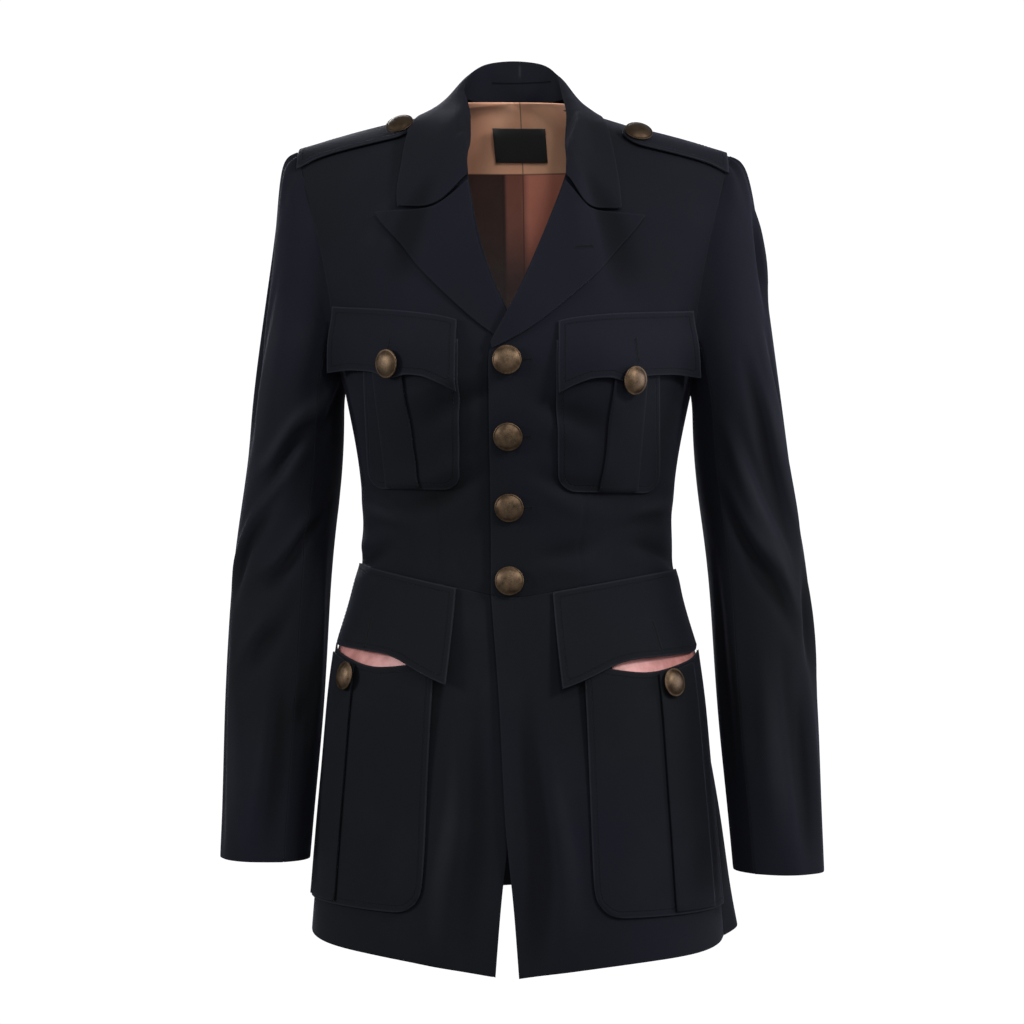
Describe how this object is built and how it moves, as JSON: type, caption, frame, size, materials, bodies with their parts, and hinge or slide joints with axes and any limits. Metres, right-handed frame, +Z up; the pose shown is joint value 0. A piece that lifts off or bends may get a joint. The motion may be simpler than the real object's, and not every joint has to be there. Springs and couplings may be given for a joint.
{
  "type": "military jacket",
  "caption": "Fitted navy single-breasted military jacket in its worn shape with no wearer: peak lapels, epaulettes, flapped chest and bellows hip pockets, domed brass buttons.",
  "frame": {"origin": "on the shoulders, midway between the two shoulder tips, where a wearer carries the jacket", "axes": "+Z up, the front faces -Y, the wearer's left is +X"},
  "size_m": [0.5095, 0.284, 0.7694],
  "materials": {
    "wool": "very dark navy wool twill, matt, with a faint blue sheen where it turns away",
    "satin": "salmon satin lining",
    "pocketing": "pale pink pocket lining",
    "label": "black woven label, left bare",
    "brass": "antique brass, dull, darker round the rim"
  },
  "bodies": {
    "root": {"front_left": "wool", "front_right": "wool", "back_left": "wool", "back_right": "wool", "back_lining": "satin", "skirt_front_left": "wool", "skirt_front_right": "wool", "skirt_back_left": "wool", "skirt_back_right": "wool", "top_sleeve_left": "wool", "top_sleeve_right": "wool", "under_sleeve_left": "wool", "under_sleeve_right": "wool", "collar": "wool", "lapel_left": "wool", "lapel_right": "wool", "chest_pocket_left": "wool", "chest_pocket_right": "wool", "chest_pleat_left": "wool", "chest_pleat_right": "wool", "chest_flap_left": "wool", "chest_flap_right": "wool", "hip_pocket_left": "wool", "hip_pocket_right": "wool", "hip_pleat_left": "wool", "hip_pleat_right": "wool", "hip_flap_left": "wool", "hip_flap_right": "wool", "hip_lining_left": "pocketing", "hip_lining_right": "pocketing", "epaulette_left": "wool", "epaulette_right": "wool", "label": "label", "button_front_1": "brass", "button_front_2": "brass", "button_front_3": "brass", "button_front_4": "brass", "button_chest_left": "brass", "button_chest_right": "brass", "button_hip_left": "brass", "button_hip_right": "brass", "button_shoulder_left": "brass", "button_shoulder_right": "brass"}
  },
  "joints": []
}
